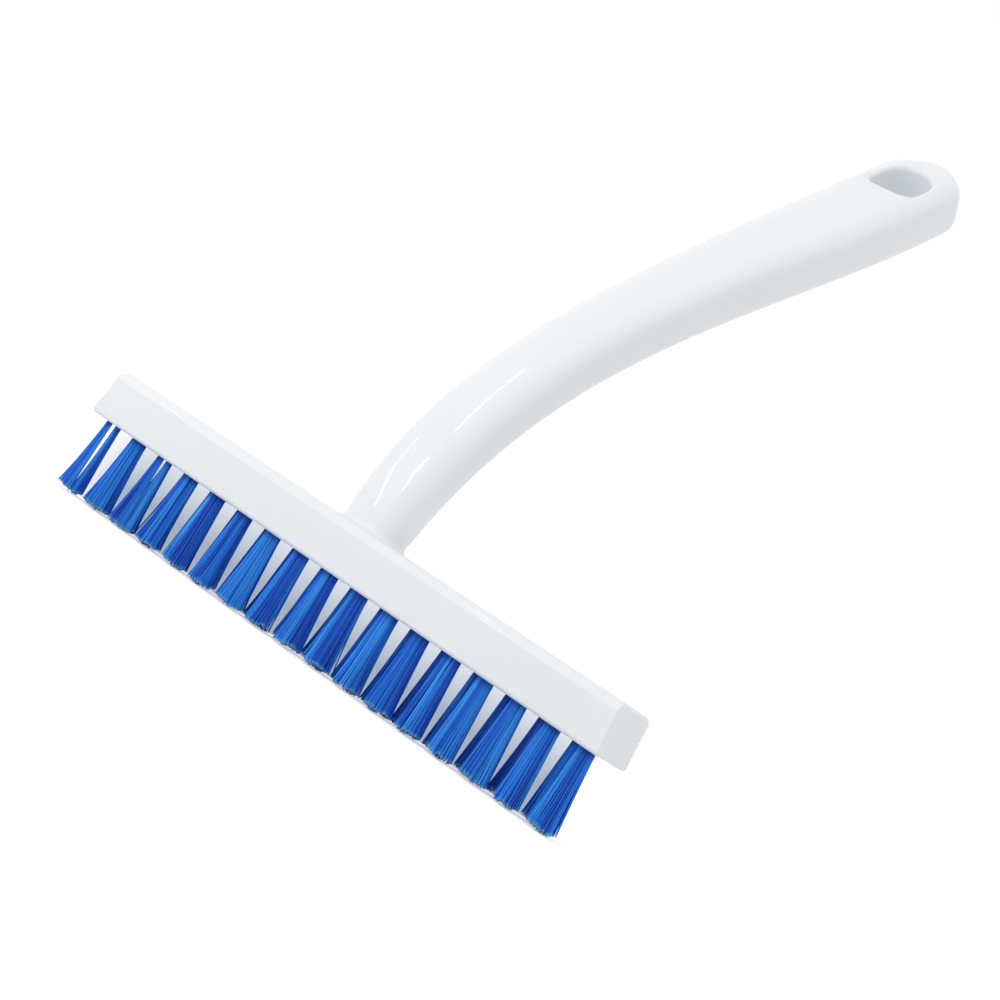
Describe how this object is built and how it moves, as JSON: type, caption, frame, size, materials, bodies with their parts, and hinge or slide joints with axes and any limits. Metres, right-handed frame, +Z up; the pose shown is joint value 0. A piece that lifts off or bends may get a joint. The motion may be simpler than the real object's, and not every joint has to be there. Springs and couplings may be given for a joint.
{
  "type": "window screen brush",
  "caption": "Long-handled brush with a straight bar of short bristle tufts in two staggered rows, a swept-back handle and a hanging eye, for window and insect screens.",
  "frame": {"origin": "middle of the bar's flat underside, where the bristle tufts leave it", "axes": "+X along the bar, +Y to the back where the handle sweeps, +Z up along the handle's root, bristles hang down -Z"},
  "size_m": [0.1698, 0.1586, 0.2142],
  "materials": {
    "body": "smooth moulded polypropylene, semi-gloss",
    "bristle": "extruded filament, satin"
  },
  "bodies": {
    "root": {"brush_body": "body", "tuft_front_01": "bristle", "tuft_front_02": "bristle", "tuft_front_03": "bristle", "tuft_front_04": "bristle", "tuft_front_05": "bristle", "tuft_front_06": "bristle", "tuft_front_07": "bristle", "tuft_front_08": "bristle", "tuft_front_09": "bristle", "tuft_front_10": "bristle", "tuft_front_11": "bristle", "tuft_front_12": "bristle", "tuft_front_13": "bristle", "tuft_front_14": "bristle", "tuft_front_15": "bristle", "tuft_front_16": "bristle", "tuft_front_17": "bristle", "tuft_rear_01": "bristle", "tuft_rear_02": "bristle", "tuft_rear_03": "bristle", "tuft_rear_04": "bristle", "tuft_rear_05": "bristle", "tuft_rear_06": "bristle", "tuft_rear_07": "bristle", "tuft_rear_08": "bristle", "tuft_rear_09": "bristle", "tuft_rear_10": "bristle", "tuft_rear_11": "bristle", "tuft_rear_12": "bristle", "tuft_rear_13": "bristle", "tuft_rear_14": "bristle", "tuft_rear_15": "bristle", "tuft_rear_16": "bristle"}
  },
  "joints": []
}
